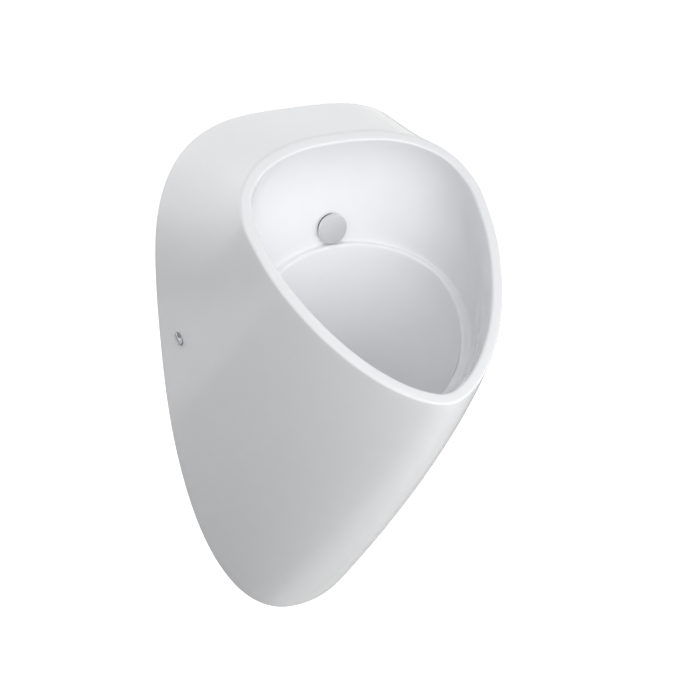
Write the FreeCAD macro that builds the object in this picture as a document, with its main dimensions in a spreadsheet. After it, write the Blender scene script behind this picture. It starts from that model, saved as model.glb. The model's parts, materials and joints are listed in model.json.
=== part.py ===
import FreeCAD, Part
import math
import os
import Sketcher
from FreeCAD import Placement, Rotation, Vector

# Wall hung urinal, millimetres. +Z is up, the wall is the plane y = 0 and the
# bowl faces -Y. The origin lies on the wall, midway between the two side
# fixings. The vitreous china body hides a flush pipe, a trap and two brackets.

SIZES = {
    # Back edge of the body, on the wall
    "back_half": 159.5,          # half width
    "back_wide_z": 2.5,          # height of the widest place
    "back_rise": 213.0,          # from the widest place up to the top
    "back_drop": 428.5,          # from the widest place down to the tip
    "back_upper_power": 3.35,    # fullness of the upper part, 2 is an ellipse
    "back_lower_power": 2.18,    # fullness of the lower part
    "back_round": 3.5,           # rounding of the back edge
    # Rim, a flat band on a tilted plane
    "rim_y": -216.0,             # where the plane's own axes cross, from the wall
    "rim_z": 131.4,              # the same place, height
    "rim_tilt": 52.4,            # degrees that the plane leans from upright
    "rim_half": 124.5,           # half width of the outer edge
    "rim_wide": 43.9,            # up the plane to the widest place
    "rim_rise": 93.8,            # from the widest place to the top
    "rim_drop": 203.8,           # from the widest place to the lip
    "rim_upper_power": 2.36,     # fullness of the upper part
    "rim_lower_power": 1.69,     # fullness of the lower part
    "rim_land": 10.8,            # width of the band
    "rim_round": 2.6,            # rounding of its two edges
    # Outer skin between the back edge and the rim
    "skin_lead_share": 0.69,     # how far the outline has turned into the rim's
    "skin_reach_share": 0.78,    # how far out from the wall it has then come
    # Bowl
    "wall": 12.0,                # thickness of the china
    "ledge_y": -93.7,            # back of the flush ledge, from the wall
    "ledge_z": 97.0,             # the same place, height
    "ledge_half": 113.4,         # half width of the ledge's outline
    "ledge_rise": 92.0,          # along the tilted plane, back to widest place
    "ledge_drop": 112.0,         # widest place to the front
    "ledge_step": 8.0,           # how far the ledge stands in from the wall
    "ledge_corner": 2.8,         # rounding of its inner corner
    "ledge_nose": 3.2,           # rounding of its front edge
    "throat": 42.0,              # how far the wall runs square to the rim
    "plunge": 42.0,              # how far it comes down straight on to the ledge
    "lower": 95.0,               # how far the wall runs straight below the ledge
    "flare": 46.0,               # how far the floor runs flat into the wall
    "floor_y": -122.0,           # centre of the flat floor, from the wall
    "floor_z": -128.0,           # height of the flat floor
    "floor_half": 36.0,          # radius of the flat floor
    "plunge_lean_share": 0.75,   # at the lip, share of the plunge that runs back
    "plunge_fall_share": 0.66,   # at the lip, share of it that runs down
    "lower_lean_share": 0.45,    # at the lip, share of the lower run that runs back
    "lower_fall_share": 0.8,     # at the lip, share of it that runs down
    "flare_back_share": 0.15,    # at the back, share of the flare
    # Spray head in the back of the bowl
    "spray_up": 17.4,            # height of its axis over the ledge
    "seat_in": 0.5,              # depth of the flat seat cut in the wall above the ledge
    "seat_gap": 0.4,             # play of the flange in that seat
    "boss_thick": 13.7,          # china behind the seat
    "boss_half": 24.0,           # radius of the boss
    "disc_half": 15.6,           # radius of the cover disc
    "disc_thick": 3.2,           # thickness of the cover disc
    "disc_edge": 0.7,            # bevel of its front edge
    "disc_gap": 1.3,             # slot that the water leaves by, behind the disc
    "stem_half": 4.0,            # radius of the disc's stem
    "stem_long": 9.0,            # length of the stem
    "head_half": 14.2,           # radius of the head's flange
    "head_thick": 1.6,           # thickness of the flange
    "head_gasket": 1.4,          # thickness of the gasket behind it
    "shank_half": 10.0,          # radius of the threaded shank
    "shank_past": 9.5,           # how far the shank runs on past its nut
    "shank_bore": 7.0,           # radius of the water way
    "shank_gap": 1.0,            # play of the shank in the china
    "washer_half": 18.0,         # radius of the rubber washer on the boss
    "washer_thick": 2.0,         # its thickness
    "nut_thick": 8.0,            # lock nut
    "nut_flat": 15.0,            # half the lock nut's width across flats
    # Flush pipe
    "pipe_half": 8.0,            # outer radius
    "pipe_wall": 1.5,            # wall
    "pipe_end": 25.0,            # how far it reaches into the wall
    "mark_deep": 0.4,            # depth of the ring mark on it, flush with the wall's face
    "mark_wide": 1.5,            # width of that mark
    "collar_half": 9.6,          # radius of the collar on its front end
    "collar_thick": 2.5,         # thickness of that collar
    "union_half": 14.0,          # half the union nut's width across flats
    "union_long": 15.0,          # length of the union nut
    "union_lip": 3.0,            # thickness of its end behind the collar
    "grommet_half": 19.0,        # radius of the rubber grommet on the wall
    "grommet_thick": 6.0,        # its thickness
    # Drain in the floor of the bowl
    "drain_gap": 2.0,            # play of the tail in the hole in the china
    "flange_half": 31.0,         # radius of the flange
    "flange_thick": 2.4,         # thickness of the flange
    "flange_bevel": 1.0,         # bevel of its edge
    "flange_gasket": 1.2,        # gasket under the flange
    "tail_half": 22.0,           # outer radius of the threaded tail
    "tail_bore": 18.5,           # its bore
    "tail_past": 17.0,           # how far the tail runs on past its nut
    "well_half": 26.0,           # radius of the well that takes the strainer
    "strainer_gap": 0.4,         # play of the strainer in its well
    "strainer_edge": 1.4,        # thickness of the strainer
    "strainer_rise": 4.5,        # height of its dome
    "strainer_hole": 2.4,        # radius of each hole
    "strainer_inner": 7.5,       # radius of the inner ring of holes
    "strainer_outer": 14.5,      # radius of the outer ring of holes
    "drain_washer": 3.0,         # rubber washer under the floor
    "drain_nut_half": 31.0,      # half the drain nut's width across flats
    "drain_nut_thick": 8.0,      # its thickness
    # Trap
    "trap_half": 20.0,           # outer radius of the tube
    "trap_wall": 2.0,            # its wall
    "bend_radius": 30.0,         # radius of each bend, to the tube's middle
    "trap_fall": 40.0,           # straight fall from the tail to the lower bend
    "trap_rise": 8.0,            # straight rise from the lower bend to its joint
    "outlet_rise": 9.0,          # straight rise from that joint to the upper bend
    "outlet_end": 35.0,          # how far the outlet reaches into the wall
    "outlet_tail": 12.0,         # length of the thick end of the outlet bend
    "trap_collar": 21.6,         # radius of the collars at the joints
    "trap_collar_thick": 3.0,    # thickness of those collars
    "ring_half": 27.5,           # outer radius of the two union nuts
    "ring_long": 20.0,           # length of each
    "ring_lip": 4.0,             # thickness of the nut's end at the collar
    "seal_thick": 3.0,           # rubber seal in the second joint
    "sleeve_half": 26.0,         # radius of the rubber sleeve in the wall
    "sleeve_in": -8.0,           # where the sleeve starts, in front of the wall
    "sleeve_out": 20.0,          # where it ends, in the wall
    # Side fixings and wall brackets
    "fixing_y": -45.0,           # axis of the side screws, from the wall
    "leg_in": 31.5,              # inner face of the bracket's leg, in from the widest place
    "plate_thick": 4.0,          # thickness of the steel
    "leg_past": 17.0,            # how far the leg runs on past the screw
    "leg_half": 15.0,            # half height of the leg
    "base_wide": 40.0,           # width of the plate on the wall, inside the leg
    "base_half": 40.0,           # half height of that plate
    "base_round": 6.0,           # rounding of its corners
    "bolt_in": 22.0,             # wall bolt holes, in from the leg
    "bolt_edge": 14.0,           # wall bolt holes, from the plate's upper or lower edge
    "bolt_hole": 4.5,            # radius of the wall bolt holes
    "screw_half": 4.0,           # radius of the side screw
    "screw_point": 0.8,          # bevel of its end
    "screw_past": 4.0,           # how far its end passes the weld nut
    "screw_head": 5.8,           # radius of its head
    "screw_head_thick": 4.0,     # height of its head
    "screw_bevel": 0.5,          # bevel of its head
    "socket_half": 2.5,          # half the socket's width across flats
    "socket_deep": 2.4,          # depth of that socket
    "weld_nut_flat": 6.5,        # half the weld nut's width across flats
    "weld_nut_thick": 6.5,       # thickness of the weld nut
    "thread_gap": 0.05,          # play between a thread and its nut
    "bush_half": 6.4,            # outer radius of the plastic bush
    "bush_inner": 4.4,           # radius of the hole in the bush and the leg
    "bush_flange": 1.2,          # thickness of the bush's flange
    "bush_gap": 0.3,             # play of the bush in the china
    "pocket_gap": 0.5,           # play of the cap in its recess
    "pocket_deep": 6.5,          # depth of that recess
    "cap_half": 6.9,             # radius of the chrome cap
    "cap_proud": 3.6,            # how far it stands out of the china
    "cap_wall": 0.7,             # its wall
    "cap_round": 1.4,            # rounding of its edge
}


OUTLINE_STEPS = 8     # points on each quarter of an outline
CUT_PAST = 5.0        # how far a cutting shape runs on past the face it opens
MID_ROUND = 1 - math.sqrt(0.5)   # how far the middle of a rounding lies in

doc = FreeCAD.newDocument("Urinal")


class Size:
    """A length with the sheet formula that gives it."""

    def __init__(self, value, text):
        self.value = value
        self.text = text

    def __add__(self, other):
        other = as_size(other)
        return Size(self.value + other.value, f"({self.text} + {other.text})")

    def __sub__(self, other):
        other = as_size(other)
        return Size(self.value - other.value, f"({self.text} - {other.text})")

    def __mul__(self, factor):
        return Size(self.value * factor, f"({self.text} * {factor:.9f})")

    def __neg__(self):
        return self * -1


def as_size(number):
    return number if isinstance(number, Size) else Size(float(number), f"{float(number):.9f} mm")


class Dims:
    """The spreadsheet's cells, read by name."""

    def __init__(self):
        self.sheet = doc.addObject("Spreadsheet::Sheet", "dims")
        self.row = 1
        self.add_cells(SIZES)

    def add_cells(self, cells):
        for name, value in cells.items():
            self.sheet.set(f"A{self.row}", name)
            self.sheet.set(f"B{self.row}", str(value))
            self.sheet.setAlias(f"B{self.row}", name)
            self.row += 1
        doc.recompute()

    def __getattr__(self, name):
        return Size(float(self.sheet.get(name)), f"dims.{name} * 1 mm")


d = Dims()


# ---------------------------------------------------------------- helpers

def origin_plane(body, role):
    return next(f for f in body.Origin.OriginFeatures if f.Role == role)


def new_body(name):
    body = doc.addObject("PartDesign::Body", name)
    body.Label = name
    return body


def new_sketch(body, role, lift=None):
    """A sketch on one of the body's own planes, lifted off it by a size."""
    sketch = body.newObject("Sketcher::SketchObject", "Sketch")
    sketch.AttachmentSupport = [(origin_plane(body, role), "")]
    sketch.MapMode = "FlatFace"
    if lift is not None:
        sketch.AttachmentOffset = Placement(Vector(0, 0, lift.value), Rotation())
        sketch.setExpression("AttachmentOffset.Base.z", lift.text)
    return sketch


def pin(sketch, kind, geometry, point, size):
    """Hold one coordinate of a point at a size, measured from the origin."""
    size = as_size(size)
    index = sketch.addConstraint(Sketcher.Constraint(kind, -1, 1, geometry, point, size.value))
    sketch.setExpression(f"Constraints[{index}]", size.text)


def draw_polygon(sketch, corners):
    points = [Vector(as_size(u).value, as_size(v).value, 0) for u, v in corners]
    count = len(points)
    first = sketch.GeometryCount
    for k in range(count):
        sketch.addGeometry(Part.LineSegment(points[k], points[(k + 1) % count]))
    for k in range(count):
        after = first + (k + 1) % count
        sketch.addConstraint(Sketcher.Constraint("Coincident", first + k, 2, after, 1))
    for k, (u, v) in enumerate(corners):
        pin(sketch, "DistanceX", first + k, 1, u)
        pin(sketch, "DistanceY", first + k, 1, v)


def draw_circle(sketch, u, v, radius):
    u, v = as_size(u), as_size(v)
    circle = Part.Circle(Vector(u.value, v.value, 0), Vector(0, 0, 1), radius.value)
    index = sketch.addGeometry(circle)
    pin(sketch, "DistanceX", index, 3, u)
    pin(sketch, "DistanceY", index, 3, v)
    held = sketch.addConstraint(Sketcher.Constraint("Radius", index, radius.value))
    sketch.setExpression(f"Constraints[{held}]", radius.text)


def set_place(thing, turn, **base):
    """Turn an object and put it at sizes given as x, y and z."""
    thing.Placement = Placement(Vector(0, 0, 0), turn)
    for axis, size in base.items():
        thing.setExpression(f"Placement.Base.{axis}", size.text)


UPRIGHT = Rotation()
ALONG_Y = Rotation(Vector(1, 0, 0), -90)
ALONG_X = {1: Rotation(Vector(0, 1, 0), 90), -1: Rotation(Vector(0, 1, 0), -90)}


def lathe(name, section, turn=UPRIGHT, **base):
    """A turned piece: its section is (radius, height along the axis)."""
    body = new_body(name)
    sketch = new_sketch(body, "XZ_Plane")
    draw_polygon(sketch, section)
    turned = body.newObject("PartDesign::Revolution", "Turned")
    turned.Profile = sketch
    turned.ReferenceAxis = (sketch, ["V_Axis"])
    turned.Angle = 360
    set_place(body, turn, **base)
    return body


def ring(name, inner, outer, low, high, turn=UPRIGHT, **base):
    section = [(inner, low), (outer, low), (outer, high), (inner, high)]
    return lathe(name, section, turn, **base)


def pad(body, sketch, length, reverse=False):
    feature = body.newObject("PartDesign::Pad", "Pad")
    feature.Profile = sketch
    feature.Length = length.value
    feature.setExpression("Length", length.text)
    feature.Reversed = reverse
    return feature


def cut_through(body, sketch):
    feature = body.newObject("PartDesign::Pocket", "Through")
    feature.Profile = sketch
    feature.Type = "ThroughAll"
    feature.Midplane = True
    return feature


def cut_deep(body, sketch, depth, reverse=False):
    feature = body.newObject("PartDesign::Pocket", "Pocket")
    feature.Profile = sketch
    feature.Length = depth.value
    feature.setExpression("Length", depth.text)
    feature.Reversed = reverse
    return feature


def hexagon(flat):
    """Corners of a hexagon from half its width across flats."""
    reach = 1 / math.cos(math.radians(30))
    turns = [math.radians(60 * k) for k in range(6)]
    return [(flat * (reach * math.cos(a)), flat * (reach * math.sin(a))) for a in turns]


def hex_nut(name, flat, bore, low, thick, turn=UPRIGHT, **base):
    body = new_body(name)
    outline = new_sketch(body, "XY_Plane", low)
    draw_polygon(outline, hexagon(flat))
    pad(body, outline, thick)
    hole = new_sketch(body, "XY_Plane", low)
    draw_circle(hole, 0, 0, bore)
    cut_through(body, hole)
    set_place(body, turn, **base)
    return body


def polar(body, feature, count):
    pattern = body.newObject("PartDesign::PolarPattern", "Ring")
    pattern.Originals = [feature]
    pattern.Axis = (origin_plane(body, "Z_Axis"), [""])
    pattern.Angle = 360
    pattern.Occurrences = count
    body.Tip = pattern
    return pattern


# ------------------------------------------------- china body, free form

def outline(half, wide, rise, drop, square, point, inset=0.0):
    """Egg outline as (across, up) points, from the top round by the right.

    Each quarter is |across/half|^n + |up/reach|^n = 1, where n is the fullness.
    """
    half, rise, drop = half - inset, rise - inset, drop - inset
    count = 4 * OUTLINE_STEPS
    points = []
    for k in range(count):
        angle = 2 * math.pi * k / count
        upper = math.cos(angle) >= 0
        fullness = square if upper else point
        reach = rise if upper else drop
        across, up = abs(math.sin(angle)), abs(math.cos(angle))
        scale = (across ** fullness + up ** fullness) ** (-1 / fullness)
        points.append((half * scale * math.sin(angle), wide + reach * scale * math.cos(angle)))
    return points


def inset_outline(points, depth):
    """Move each point of an outline inwards, square to the outline."""
    moved = []
    for k, (u, v) in enumerate(points):
        ahead, behind = points[(k + 1) % len(points)], points[k - 1]
        du, dv = ahead[0] - behind[0], ahead[1] - behind[1]
        length = math.hypot(du, dv)
        moved.append((u + depth * dv / length, v - depth * du / length))
    return moved


def rim_normal():
    """Unit vector out of the rim's plane, forwards and up."""
    lean = math.radians(d.rim_tilt.value)
    return Vector(0, -math.cos(lean), math.sin(lean))


def on_rim_slope(points, y, z):
    """Lay (across, up) points on a plane parallel to the rim."""
    lean = math.radians(d.rim_tilt.value)
    return [Vector(u, y + v * math.sin(lean), z + v * math.cos(lean)) for u, v in points]


def frontness():
    """For each outline point, 0 at the back or top and 1 at the lip."""
    count = 4 * OUTLINE_STEPS
    return [(1 - math.cos(2 * math.pi * k / count)) / 2 for k in range(count)]


def toward(points, targets, distance):
    """Each point moved a distance straight towards its target."""
    return [p + (q - p).normalize() * distance for p, q in zip(points, targets)]


def leaning(length, lean, fall):
    """An upward step for each outline point, which leans forward at the lip."""
    return [Vector(0, -lean.value * front, 1 - (1 - fall.value) * front) * length.value
            for front in frontness()]


def level_inward(points):
    """Level unit vector into the bowl at each point of an outline."""
    vectors = []
    for k in range(len(points)):
        along = points[(k + 1) % len(points)] - points[k - 1]
        vectors.append(Vector(along.y, -along.x, 0).normalize())
    return vectors


def closed_curve(points):
    curve = Part.BSplineCurve()
    steps = [float(k) for k in range(len(points) + 1)]
    curve.interpolate(Points=points, PeriodicFlag=True, Parameters=steps)
    return curve


def skin(*rows):
    """A face round the body that leaves the first outline and ends on the last.

    The outlines between pull it into a Bezier curve at every station.
    """
    curves = [closed_curve(row) for row in rows]
    poles = [list(column) for column in zip(*[curve.getPoles() for curve in curves])]
    degree = len(rows) - 1
    first = curves[0]
    surface = Part.BSplineSurface()
    surface.buildFromPolesMultsKnots(
        poles, first.getMultiplicities(), [degree + 1, degree + 1],
        first.getKnots(), [0.0, 1.0], True, False, first.Degree, degree)
    return surface.toShape()


def closed_solid(faces, *ends):
    """Faces in a row, closed by a flat face on each end outline."""
    caps = [Part.Face(Part.Wire(closed_curve(end).toShape())) for end in ends]
    shell = Part.makeShell(faces + caps)
    shell.sewShape()
    solid = Part.Solid(shell.Shells[0])
    if solid.Volume < 0:
        solid.reverse()
    return solid


def back_outline(inset=0.0, y=0.0):
    points = outline(d.back_half.value, d.back_wide_z.value, d.back_rise.value, d.back_drop.value,
                     d.back_upper_power.value, d.back_lower_power.value, inset)
    return [Vector(u, y, v) for u, v in points]


def rim_points(inset=0.0):
    return outline(d.rim_half.value, d.rim_wide.value, d.rim_rise.value, d.rim_drop.value,
                   d.rim_upper_power.value, d.rim_lower_power.value, inset)


def between(back, rim):
    """The outline that pulls the outer skin out, between its two ends."""
    lead, reach = d.skin_lead_share.value, d.skin_reach_share.value
    return [Vector(b.x + (r.x - b.x) * lead, b.y + (r.y - b.y) * reach, b.z + (r.z - b.z) * lead)
            for b, r in zip(back, rim)]


def bowl_rows(grow=0.0):
    """Outlines down the inside of the bowl, moved outwards by grow."""
    rim = on_rim_slope(inset_outline(rim_points(), d.rim_land.value - grow),
                       d.rim_y.value, d.rim_z.value)
    ellipse = outline(d.ledge_half.value, -d.ledge_rise.value, d.ledge_rise.value,
                      d.ledge_drop.value, 2, 2)
    ledge = on_rim_slope(ellipse, d.ledge_y.value, d.ledge_z.value)
    inward = level_inward(ledge)
    ledge = [p - w * grow for p, w in zip(ledge, inward)]
    step = 0.0 if grow else d.ledge_step.value
    nose = [p + w * step for p, w in zip(ledge, inward)]
    down = rim_normal() * d.throat.value
    plunge = leaning(d.plunge, d.plunge_lean_share, d.plunge_fall_share)
    lower = leaning(d.lower, d.lower_lean_share, d.lower_fall_share)
    radius = d.floor_half.value + grow
    centre = Vector(0, d.floor_y.value, d.floor_z.value - grow)
    round_floor, floor = [], []
    for k, front in enumerate(frontness()):
        turn = 2 * math.pi * k / (4 * OUTLINE_STEPS)
        away = Vector(math.sin(turn), math.cos(turn), 0)
        share = d.flare_back_share.value + (1 - d.flare_back_share.value) * front
        round_floor.append(centre + away * (radius + d.flare.value * share))
        floor.append(centre + away * radius)
    above_ledge = [p + step for p, step in zip(ledge, plunge)]
    below_ledge = [p - step for p, step in zip(nose, lower)]
    throat = [p - down for p in rim]
    return rim, throat, above_ledge, ledge, nose, below_ledge, round_floor, floor


def solid_body():
    """The china as if it were not hollow behind, with its bowl."""
    back = back_outline()
    outer = on_rim_slope(rim_points(), d.rim_y.value, d.rim_z.value)
    pull = between(back, outer)
    rim, throat, above, ledge, nose, below, round_floor, floor = bowl_rows()
    flat = back_outline(d.back_round.value)
    edge, corner, front = d.rim_round.value, d.ledge_corner.value, d.ledge_nose.value
    skin_start, skin_end = toward(back, pull, d.back_round.value), toward(outer, pull, edge)
    land_out, land_in = toward(outer, rim, edge), toward(rim, outer, edge)
    wall_start, wall_end = toward(rim, throat, edge), toward(ledge, above, corner)
    shelf_in, shelf_out = toward(ledge, nose, corner), toward(nose, ledge, front)
    bowl_start = toward(nose, below, front)
    faces = [
        skin(flat, back, skin_start),
        skin(skin_start, pull, skin_end),
        skin(skin_end, outer, land_out),
        skin(land_out, land_in),
        skin(land_in, rim, wall_start),
        skin(wall_start, throat, above, wall_end),
        skin(wall_end, ledge, shelf_in),
        skin(shelf_in, shelf_out),
        skin(shelf_out, nose, bowl_start),
        skin(bowl_start, below, round_floor, floor),
    ]
    return closed_solid(faces, flat, floor)


def hollow():
    """The space behind the bowl, open to the wall."""
    wall = d.wall.value
    back = back_outline(wall, y=CUT_PAST)
    set_back = rim_normal() * wall
    rim = on_rim_slope(rim_points(wall), d.rim_y.value - set_back.y, d.rim_z.value - set_back.z)
    inside = closed_solid([skin(back, between(back, rim), rim)], back, rim)
    rim, throat, above, ledge, nose, below, round_floor, floor = bowl_rows(grow=wall)
    bowl = closed_solid([skin(rim, throat, above, ledge), skin(ledge, below, round_floor, floor)],
                        rim, floor)
    return inside.cut(bowl)


def side_face_x(body, y, z):
    """How far out the body's side reaches at a place."""
    probe = Part.makeLine(Vector(0, y, z), Vector(2 * d.back_half.value, y, z))
    return probe.common(body).BoundBox.XMax


def rod(radius, start, end):
    way = end - start
    return Part.makeCylinder(radius, way.Length, start, way)


def spray_seat():
    """Height of the spray head's axis, its seat in the bowl and the boss's back."""
    seat = d.ledge_y + d.seat_in
    return d.ledge_z + d.spray_up, seat, seat + d.boss_thick


def china_body():
    body = solid_body()
    side_x = side_face_x(body, d.fixing_y.value, 0.0)
    up, seat, boss_back = [size.value for size in spray_seat()]

    def spray_rod(radius, front, back):
        return rod(radius, Vector(0, front, up), Vector(0, back, up))

    boss = spray_rod(d.boss_half.value, seat, boss_back)
    body = body.cut(hollow().cut(boss))
    floor = Vector(0, d.floor_y.value, d.floor_z.value)
    under = floor - Vector(0, 0, d.wall.value + CUT_PAST)
    tools = [
        spray_rod(d.head_half.value + d.seat_gap.value, seat - CUT_PAST, seat),
        spray_rod(d.shank_half.value + d.shank_gap.value, seat - CUT_PAST, boss_back + CUT_PAST),
        rod(d.tail_half.value + d.drain_gap.value, floor + Vector(0, 0, CUT_PAST), under),
    ]
    for side in (1, -1):
        outside, recess, inside = [Vector(side * x, d.fixing_y.value, 0) for x in (
            side_x + CUT_PAST, side_x - d.pocket_deep.value, leg_face().value)]
        tools.append(rod(d.bush_half.value + d.bush_gap.value, outside, inside))
        tools.append(rod(d.cap_half.value + d.pocket_gap.value, outside, recess))
    for tool in tools:
        body = body.cut(tool)
    feature = doc.addObject("Part::Feature", "ceramic_body")
    feature.Label = "ceramic_body"
    feature.Shape = body
    d.add_cells({"side_x": side_x})


# --------------------------------------------------------------- spray head

def spray_parts():
    up, seat, boss_back = spray_seat()
    place = dict(turn=ALONG_Y, z=up)
    flange_back = seat - d.head_gasket
    flange_front = flange_back - d.head_thick
    disc_back = flange_front - d.disc_gap
    disc_front = disc_back - d.disc_thick
    stem_end = disc_back + d.stem_long
    lathe("spray_disc", [
        (0, disc_front), (d.disc_half - d.disc_edge, disc_front),
        (d.disc_half, disc_front + d.disc_edge), (d.disc_half, disc_back),
        (d.stem_half, disc_back), (d.stem_half, stem_end), (0, stem_end),
    ], **place)
    washer_back = boss_back + d.washer_thick
    shank_end = washer_back + d.nut_thick + d.shank_past
    socket = d.stem_half + d.thread_gap
    lathe("spray_head", [
        (socket, flange_front), (d.head_half, flange_front), (d.head_half, flange_back),
        (d.shank_half, flange_back), (d.shank_half, shank_end), (d.shank_bore, shank_end),
        (d.shank_bore, stem_end), (socket, stem_end),
    ], **place)
    ring("spray_gasket", d.shank_half, d.head_half, flange_back, seat, **place)
    ring("spray_washer", d.shank_half, d.washer_half, boss_back, washer_back, **place)
    hex_nut("spray_nut", d.nut_flat, d.shank_half + d.thread_gap, washer_back, d.nut_thick, **place)
    flush_pipe_parts(shank_end, place)


def flush_pipe_parts(start, place):
    """The pipe from the wall that a union nut draws up to the spray head.

    A ring rolled into the pipe marks how far it goes into the valve's joint.
    """
    bore = d.pipe_half - d.pipe_wall
    rolled = d.pipe_half - d.mark_deep
    collar_back = start + d.collar_thick
    lathe("flush_pipe", [
        (bore, start), (d.collar_half, start), (d.collar_half, collar_back),
        (d.pipe_half, collar_back), (d.pipe_half, 0), (rolled, 0), (rolled, d.mark_wide),
        (d.pipe_half, d.mark_wide), (d.pipe_half, d.pipe_end), (bore, d.pipe_end),
    ], **place)
    nut_front = collar_back + d.union_lip - d.union_long
    nut = hex_nut("flush_union_nut", d.union_half, d.pipe_half + d.thread_gap, nut_front,
                  d.union_long, **place)
    thread = new_sketch(nut, "XY_Plane", nut_front)
    draw_circle(thread, 0, 0, d.shank_half + d.thread_gap)
    cut_deep(nut, thread, d.union_long - d.union_lip, reverse=True)
    ring("flush_grommet", d.pipe_half, d.grommet_half, -d.grommet_thick, 0, **place)


# -------------------------------------------------------------------- drain

def drain_parts():
    """The threaded drain with its strainer. Gives the height of the tail's end."""
    place = dict(y=d.floor_y)
    flange_low = d.floor_z + d.flange_gasket
    flange_top = flange_low + d.flange_thick
    bevelled = d.flange_half - d.flange_bevel
    ring("drain_gasket", d.tail_half, bevelled, d.floor_z, flange_low, **place)
    under = d.floor_z - d.wall
    washer_low = under - d.drain_washer
    nut_low = washer_low - d.drain_nut_thick
    tail_end = nut_low - d.tail_past
    well_low = flange_top - d.strainer_edge
    lathe("drain_flange", [
        (d.tail_bore, tail_end), (d.tail_half, tail_end), (d.tail_half, flange_low),
        (d.flange_half, flange_low), (d.flange_half, flange_top - d.flange_bevel),
        (bevelled, flange_top), (d.well_half, flange_top), (d.well_half, well_low),
        (d.tail_bore, well_low),
    ], **place)
    body = lathe("strainer", strainer_section(well_low), **place)
    for count, radius in ((6, d.strainer_inner), (12, d.strainer_outer)):
        hole = new_sketch(body, "XY_Plane")
        draw_circle(hole, radius, 0, d.strainer_hole)
        polar(body, cut_through(body, hole), count)
    ring("drain_washer", d.tail_half, d.flange_half, washer_low, under, **place)
    hex_nut("drain_nut", d.drain_nut_half, d.tail_half + d.thread_gap, nut_low,
            d.drain_nut_thick, **place)
    return tail_end


def strainer_section(low):
    """A shallow dome over the tail's bore with a flat rim, as a thin outline."""
    rim = d.well_half - d.strainer_gap
    top, bottom = [], []
    for share in (0.0, 0.3, 0.55, 0.8, 1.0):
        height = low + d.strainer_rise * (1 - share * share)
        top.append((d.tail_bore * share, height + d.strainer_edge))
        bottom.append((d.tail_bore * share, height))
    return top + [(rim, low + d.strainer_edge), (rim, low)] + bottom[::-1]


# --------------------------------------------------------------------- trap

def draw_path(sketch, start, moves):
    """Lines and arcs end to end. A move is (end,) or (end, centre, turn).

    The turn is 1 for an arc that runs anticlockwise and -1 for clockwise.
    """
    last = start
    for index, (end, *arc) in enumerate(moves):
        a, b = [Vector(u.value, v.value, 0) for u, v in (last, end)]
        here, there = 1, 2
        if arc:
            (cu, cv), turn = arc
            centre = Vector(cu.value, cv.value, 0)
            circle = Part.Circle(centre, Vector(0, 0, 1), (a - centre).Length)
            angles = [math.atan2(p.y - cv.value, p.x - cu.value) for p in (a, b)]
            if turn < 0:
                angles.reverse()
                here, there = 2, 1
            if angles[1] <= angles[0]:
                angles[1] += 2 * math.pi
            sketch.addGeometry(Part.ArcOfCircle(circle, *angles))
            pin(sketch, "DistanceY", index, 3, cv)
        else:
            sketch.addGeometry(Part.LineSegment(a, b))
        if index:
            sketch.addConstraint(Sketcher.Constraint("Coincident", index - 1, before, index, here))
        pin(sketch, "DistanceX", index, here, last[0])
        pin(sketch, "DistanceY", index, here, last[1])
        last, before = end, there
    pin(sketch, "DistanceX", index, there, last[0])
    pin(sketch, "DistanceY", index, there, last[1])


def tube(name, start, moves, y, collars):
    """A bent tube in the middle plane, with turned collars round its upright end."""
    body = new_body(name)
    spine = new_sketch(body, "YZ_Plane")
    draw_path(spine, start, moves)
    edges = [f"Edge{k + 1}" for k in range(len(moves))]

    def sweep(kind, radius):
        profile = new_sketch(body, "XY_Plane", start[1])
        draw_circle(profile, 0, 0, radius)
        pipe = body.newObject(kind, "Tube")
        pipe.Profile = profile
        pipe.Spine = (spine, edges)

    sweep("PartDesign::AdditivePipe", d.trap_half)
    inside = d.trap_half - d.trap_wall
    for outer, low, high, axis_y in collars:
        collar = new_sketch(body, "XZ_Plane", -axis_y)
        draw_polygon(collar, [(inside, low), (outer, low), (outer, high), (inside, high)])
        turned = body.newObject("PartDesign::Revolution", "Collar")
        turned.Profile = collar
        turned.ReferenceAxis = (collar, ["V_Axis"])
        turned.Angle = 360
    sweep("PartDesign::SubtractivePipe", inside)
    set_place(body, UPRIGHT, y=y)
    return body


def trap_parts(tail_end):
    zero = as_size(0)
    across = d.bend_radius * 2
    rising_y = d.floor_y + across
    low_turn_z = tail_end - d.trap_fall
    rise_z = low_turn_z + d.trap_rise
    tube("trap_bend", (zero, tail_end), [
        ((zero, low_turn_z),),
        ((across, low_turn_z), (d.bend_radius, low_turn_z), 1),
        ((across, rise_z),),
    ], d.floor_y, [
        (d.trap_collar, tail_end - d.trap_collar_thick, tail_end, zero),
        (d.trap_collar, rise_z - d.trap_collar_thick, rise_z, across),
    ])
    seal_top = rise_z + d.seal_thick
    upper_turn_z = seal_top + d.outlet_rise
    outlet_z = upper_turn_z + d.bend_radius
    tube("outlet_bend", (zero, seal_top), [
        ((zero, upper_turn_z),),
        ((d.bend_radius, outlet_z), (d.bend_radius, upper_turn_z), -1),
        ((d.outlet_end - rising_y, outlet_z),),
    ], rising_y, [(d.tail_half, seal_top, seal_top + d.outlet_tail, zero)])
    ring("trap_seal", d.trap_half - d.trap_wall, d.trap_collar, rise_z, seal_top, y=rising_y)
    union_ring("trap_inlet_nut", tail_end, d.floor_y)
    union_ring("trap_outlet_nut", rise_z, rising_y)
    ring("outlet_sleeve", d.trap_half, d.sleeve_half, d.sleeve_in, d.sleeve_out,
         turn=ALONG_Y, z=outlet_z)


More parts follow.
